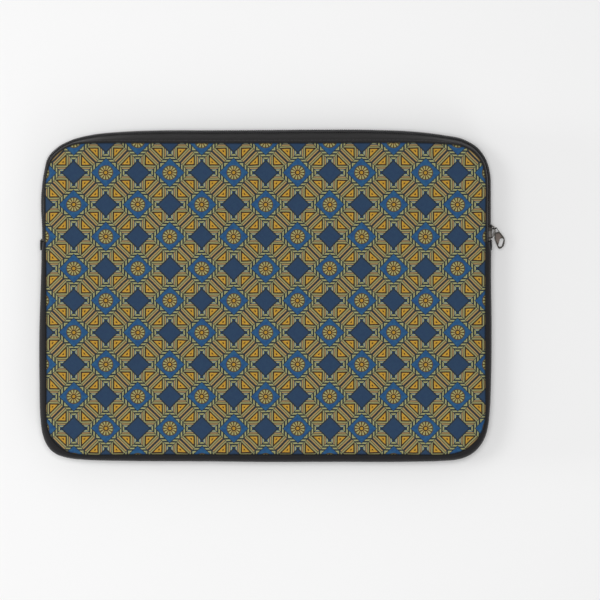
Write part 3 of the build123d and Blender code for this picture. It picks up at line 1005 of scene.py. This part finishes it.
def zip_rows(side):
    """Tape grid, coil centre line, and the coil's free and away directions.

    side is 1 for the front tape and -1 for its mirror image at the back. Free points
    along the tape to its free edge, away points from the tape to the outside.
    """
    grid, coil, free, away = [], [], [], []
    for i in range(zip_rim.count):
        width, (height, slope) = zip_rim.width[i], zip_rim.stations[i, 4:6]
        sine, cosine = math.sin(math.radians(slope)), math.cos(math.radians(slope))
        coil_r, coil_z = -COIL_INSET, MID + height
        below = 1.12 + TAPE_THICK / 2       # from the coil centre in to the tape
        end_r = coil_r - below * sine + 0.45 * cosine
        end_z = coil_z - below * cosine - 0.45 * sine
        handle = 3.4 if slope > 80 else 2.6
        control = ((-width + 0.12, THICK - 1.28),
                   (-width + 0.12 + 0.42 * width, THICK - 0.95 - 0.06 * width),
                   (end_r - handle * cosine, end_z + handle * sine),
                   (end_r, end_z))

        def place(r, z):
            return zip_rim.point(i, r, z if side > 0 else THICK - z)

        row = []
        for t in np.linspace(0, 1, 15):
            weights = ((1 - t) ** 3, 3 * t * (1 - t) ** 2, 3 * t * t * (1 - t), t ** 3)
            row.append(place(sum(w * p[0] for w, p in zip(weights, control)),
                             sum(w * p[1] for w, p in zip(weights, control))))
        out_x, out_y = zip_rim.outward[i]
        grid.append(row)
        coil.append(place(coil_r, coil_z))
        free.append((out_x * cosine, out_y * cosine, -sine * side))
        away.append((out_x * sine, out_y * sine, cosine * side))
    return np.array(grid), np.array(coil), np.array(free), np.array(away)


def resample(arrays, path, count):
    distance = arc_len(path)
    at = np.linspace(0, distance[-1], count)
    return [interp_columns(at, distance, values) for values in arrays], at


def coil_mesh(name, coil, free, away, phase):
    """Nylon spiral wound round a core cord, with wider heads on the free side."""
    count = int(arc_len(coil)[-1] / COIL_PITCH) * COIL_SEGMENTS
    (centre, free, away), _ = resample([coil, free, away], coil, count + 1)
    free, away = unit_rows(free), unit_rows(away)
    angle = np.arange(count + 1) * 2 * math.pi / COIL_SEGMENTS + phase
    cosine, sine = np.cos(angle), np.sin(angle)
    head = np.maximum(cosine, 0)
    reach = np.where(cosine > 0, 1.22, 1.05)
    helix = (centre + free * (reach * cosine)[:, None]
             + away * (0.80 * sine)[:, None] * (1 + 0.12 * head)[:, None])
    radial = away * sine[:, None] + free * cosine[:, None]
    verts, faces = join_arrays([tube_arrays(helix, 0.30 + 0.09 * head ** 3, 7, radial),
                                tube_arrays(centre[::4], 0.44, 8, away[::4])])
    return make_object(name, verts, faces, MATERIALS["coil"])


def coil_thread(name, coil, free, away):
    """Two rows of thread over the outside of the spiral."""
    count = int(arc_len(coil)[-1] / 0.42)
    (centre, free, away), at = resample([coil, free, away], coil, count + 1)
    sway = 0.10 * np.sin(at * 2 * math.pi / (2 * COIL_PITCH))
    parts = []
    for offset, phase in ((-0.55, 0.0), (0.22, 1.6)):
        lift = 0.98 + 0.07 * np.sin(at * 2 * math.pi / COIL_PITCH + phase)
        swing = 0.10 * np.sin(at * 2 * math.pi / (2 * COIL_PITCH) + phase)
        path = centre + free * offset + away * lift[:, None] + free * swing[:, None]
        parts.append(tube_arrays(path, 0.13, 5, away))
    return thread_object(name, parts)


def tape_stitches(name, grid, out, column=2):
    normals = grid_normals(grid)[:, column] * out
    base = grid[:, column] + normals * (TAPE_THICK / 2)
    return thread_object(name, stitch_row(base, normals))


def zip_side(tag, side, phase):
    """Tape, coil, coil thread and tape stitches of one side."""
    grid, coil, free, away = zip_rows(side)
    normals = grid_normals(grid)
    out = 1.0 if normals[len(grid) // 2, 4, 2] * side > 0 else -1.0
    along = arc_len(grid[:, 7])
    wave = 0.10 * np.sin(along * 0.13) + 0.06 * np.sin(along * 0.31 + 0.7)
    profile = np.sin(np.linspace(0, math.pi, grid.shape[1]))
    grid = grid + normals * out * (wave[:, None] * profile[None, :])[..., None]
    return (shell("zip_tape_" + tag, grid, TAPE_THICK, MATERIALS["tape"], out, edges="first"),
            coil_mesh("zip_coil_" + tag, coil, free, away, phase),
            coil_thread("coil_thread_" + tag, coil, free, away),
            tape_stitches("tape_stitches_" + tag, grid, out))


tape_front, coil_front, thread_front, stitch_front = zip_side("front", side=1, phase=0.0)
tape_back, coil_back, thread_back, stitch_back = zip_side("back", side=-1, phase=math.pi)

# ------------------------------------------------------------------ inner bindings


def binding_tube(name, path, outward, half_width):
    """Rounded-square tape along a path."""
    sides, half_height = 14, 0.62
    verts, faces = tube_arrays(path, half_width, sides, outward, up_radius=half_height,
                               squareness=0.62)
    along = np.repeat(arc_len(path), sides)
    segment = 2 * math.pi * max(half_width, half_height) / sides
    around = np.tile(np.arange(sides) * segment, len(path))
    return make_object(name, verts, faces, MATERIALS["binding"],
                       {"band": np.stack([along, around], 1)})


def gusset_binding(name, z):
    path = np.array([gusset_rim.point(i, -4.15, z) for i in range(gusset_rim.count)])
    return binding_tube(name, path, gusset_rim.outward_3d(), half_width=0.62)


def flap_binding():
    on_flap = zip_rim.outer[:, 1] > FLAP_START_Y
    outward = zip_rim.outward_3d()[on_flap]
    seam = np.column_stack([zip_rim.seam[on_flap], np.full(len(outward), 21.65)])
    return binding_tube("inner_binding_flap", seam - outward * 0.35, outward, half_width=0.9)


binding_front = gusset_binding("inner_binding_front", z=21.55)
binding_back = gusset_binding("inner_binding_back", z=4.75)
binding_flap = flap_binding()

# ------------------------------------------------------------------ zip end tabs and label


def tab_piece(name, side, outer_x):
    """Short puffed webbing tab over the zip's end, with a zigzag bar tack at each edge."""
    start_y, end_y, half_height = 35.6, 43.4, 8.2
    rows = []
    for y in np.linspace(start_y, end_y, 15):
        f = (y - start_y) / (end_y - start_y)
        lift = 0.42 + 0.30 * math.sin(math.pi * min(max(f, 0.02), 0.98)) ** 0.6
        row = []
        for w in np.linspace(-1, 1, 19):
            r = lift * (1 - 0.75 * abs(w) ** 4) - 0.9 * abs(w) ** 6
            row.append((side * (outer_x - 0.35 + r), y, MID + half_height * w))
        rows.append(row)
    grid = np.array(rows)
    normals = grid_normals(grid)
    out = 1.0 if normals[7, 9, 0] * side > 0 else -1.0
    tab = shell(name, grid, 0.7, MATERIALS["band"], out)
    parts = []
    for row in (1, 13):
        up = normals[row, 3:-3] * out
        path = grid[row, 3:-3] + up * 0.36
        path[:, 1] += 0.28 * np.array([(-1) ** k for k in range(len(path))])
        parts.append(tube_arrays(path, 0.16, 5, up))
    return tab, thread_object(name + "_bartack", parts)


tab_right, tack_right = tab_piece("zip_end_tab_right", side=1, outer_x=175.0)
tab_left, tack_left = tab_piece("zip_end_tab_left", side=-1, outer_x=174.95)

LABEL_Z = 5.05


def label_piece():
    """Blank label that curls up towards its -y edge, sewn along its +y edge."""
    start_y, end_y = 98.2, 113.8
    x, y = np.meshgrid(np.linspace(-17, 17, 35), np.linspace(start_y, end_y, 17), indexing="ij")
    curl = 0.33 * (1 - (y - start_y) / 15.6) ** 2 * (0.6 + 0.4 * np.cos(x * 0.12))
    grid = np.stack([x, y, LABEL_Z + curl], 2)
    ob = shell("care_label", grid, 0.25, MATERIALS["label"], edges="none")
    add_uv(ob.data, "flat", np.concatenate([grid.reshape(-1, 3)[:, :2]] * 2))
    return ob


def label_stitch_row():
    line = np.column_stack([np.linspace(-15.5, 15.5, 30), np.full(30, 112.4),
                            np.full(30, LABEL_Z)])
    up = np.tile([[0, 0, 1.0]], (30, 1))
    return thread_object("label_stitches", stitch_row(line, up, length=1.9, gap=0.6,
                                                      radius=0.13, lift=0.12))


label = label_piece()
label_stitches = label_stitch_row()

# ------------------------------------------------------------------ metal parts of the CAD
# The CAD shapes stay and get a plated finish: node, material, bevel width (0 for none)
METAL_PARTS = (
    ("slider_body", "zip_metal", 0.14),
    ("slider_bridge", "zip_metal", 0.12),
    ("pull_link", "zip_metal", 0.0),
    ("pull_tab", "pull", 0.10),
    ("zip_stop_right", "zip_metal", 0.08),
    ("zip_stop_left", "zip_metal", 0.08),
)
for part, material, bevel_width in METAL_PARTS:
    ob = nodes[part]
    if not ob.data.materials:
        ob.data.materials.append(MATERIALS[material])
    for slot in ob.material_slots:
        slot.link = "OBJECT"
        slot.material = MATERIALS[material]
    if bevel_width:
        bevel = ob.modifiers.new("soft_edges", "BEVEL")
        bevel.width = bevel_width * MM
        bevel.segments = 2
        bevel.limit_method = "ANGLE"
        bevel.angle_limit = math.radians(40)
        bevel.harden_normals = False

# ------------------------------------------------------------------ what moves with what
# object, slot, CAD pieces it replaces
BENDING = (     # BENDING = ( # run from the body into the front flap; here their transforms are only baked
    (front_panel, "printed_fabric", "front_panel_lower", "front_panel_flap"),
    (front_foam, "foam", "front_foam_lower", "front_foam_flap"),
    (front_lining, "lining", "front_lining_lower", "front_lining_flap"),
    (tape_front, "zip_tape", "zip_tape_front_ends", "zip_tape_front_flap"),
    (coil_front, "zip_coil", "zip_coil_front_ends", "zip_coil_front_flap"),
    (thread_front, "zip_tape"),
    (stitch_front, "zip_tape"),
    (binding_flap, "band_fabric", "inner_binding_flap"),
)
FIXED = (       # stay with the body
    (back_panel, "printed_fabric", "back_panel"),
    (back_foam, "foam", "back_foam"),
    (back_lining, "lining", "back_lining"),
    (gusset_outer, "band_fabric", "gusset_outer"),
    (gusset_foam, "foam", "gusset_foam"),
    (gusset_lining, "lining", "gusset_lining"),
    (binding_front, "band_fabric", "inner_binding_front"),
    (binding_back, "band_fabric", "inner_binding_back"),
    (tape_back, "zip_tape", "zip_tape_back"),
    (coil_back, "zip_coil", "zip_coil_back"),
    (thread_back, "zip_tape"),
    (stitch_back, "zip_tape"),
    (tab_right, "band_fabric", "zip_end_tab_right"),
    (tab_left, "band_fabric", "zip_end_tab_left"),
    (tack_right, "zip_tape"),
    (tack_left, "zip_tape"),
    (label, "label", "care_label"),
    (label_stitches, "zip_tape"),
)


def register(ob, slot, *cad):
    if cad:
        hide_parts(*cad)


for entry in BENDING:
    register(*entry)
    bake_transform(entry[0])
for entry in FIXED:
    register(*entry)
    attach(entry[0], "root")

# ------------------------------------------------------------------ stage, light, camera
scene = bpy.context.scene


def make_floor():
    ticks = np.linspace(-2500, 2500, 9)
    verts = np.array([(x, y, -0.15) for x in ticks for y in ticks])
    return make_object("floor", verts, grid_faces(9, 9), floor_material(), smooth=False)


def make_world():
    """White light from all round, while the camera sees a pale grey."""
    world = bpy.data.worlds.new("soft_room")
    scene.world = world
    world.use_nodes = True
    tree = world.node_tree
    lighting = tree.nodes["Background"]
    lighting.inputs["Color"].default_value = (1.0, 1.0, 1.0, 1.0)
    lighting.inputs["Strength"].default_value = 0.37
    seen = tree.nodes.new("ShaderNodeBackground")
    seen.inputs["Color"].default_value = (0.90, 0.90, 0.90, 1.0)
    mix = tree.nodes.new("ShaderNodeMixShader")
    path = tree.nodes.new("ShaderNodeLightPath")
    tree.links.new(path.outputs["Is Camera Ray"], mix.inputs[0])
    tree.links.new(lighting.outputs[0], mix.inputs[1])
    tree.links.new(seen.outputs[0], mix.inputs[2])
    tree.links.new(mix.outputs[0], tree.nodes["World Output"].inputs[0])


def area_light(name, location, size, power, target=(0.0, 0.0, 0.0)):
    """Disk light aimed at target; metres and watts."""
    light = bpy.data.lights.new(name, "AREA")
    light.shape = "DISK"
    light.size = size
    light.energy = power
    ob = bpy.data.objects.new(name, light)
    scene.collection.objects.link(ob)
    ob.location = location
    aim = Vector(target) - Vector(location)
    ob.rotation_euler = aim.to_track_quat("-Z", "Y").to_euler()


def make_camera(distance=2.4, view_width=0.4656, sensor=36.0):
    """Camera looking straight down; view_width metres fill the frame at distance."""
    data = bpy.data.cameras.new("camera")
    camera = bpy.data.objects.new("camera", data)
    scene.collection.objects.link(camera)
    camera.location = (0.0264, -0.0031, distance + 0.02)
    camera.rotation_euler = (0.0, 0.0, 0.0)
    data.sensor_fit = "HORIZONTAL"
    data.sensor_width = sensor
    data.lens = sensor * distance / view_width
    data.clip_start = 0.05
    data.clip_end = 50.0
    scene.camera = camera


make_floor()
scene.view_settings.view_transform = "Standard"
scene.view_settings.look = "None"
scene.view_settings.exposure = 0.0
scene.view_settings.gamma = 1.0
make_world()
area_light("key_soft", location=(-1.15, 0.22, 1.60), size=0.8, power=6.0)
area_light("side_soft", location=(-1.70, -0.02, 0.30), size=0.5, power=8.5,
           target=(-0.17, 0.0, 0.0))
area_light("top_soft", location=(0.0, 0.05, 2.2), size=0.8, power=23.5)
area_light("fill_low", location=(0.7, -1.6, 0.95), size=1.0, power=3.7)
make_camera()
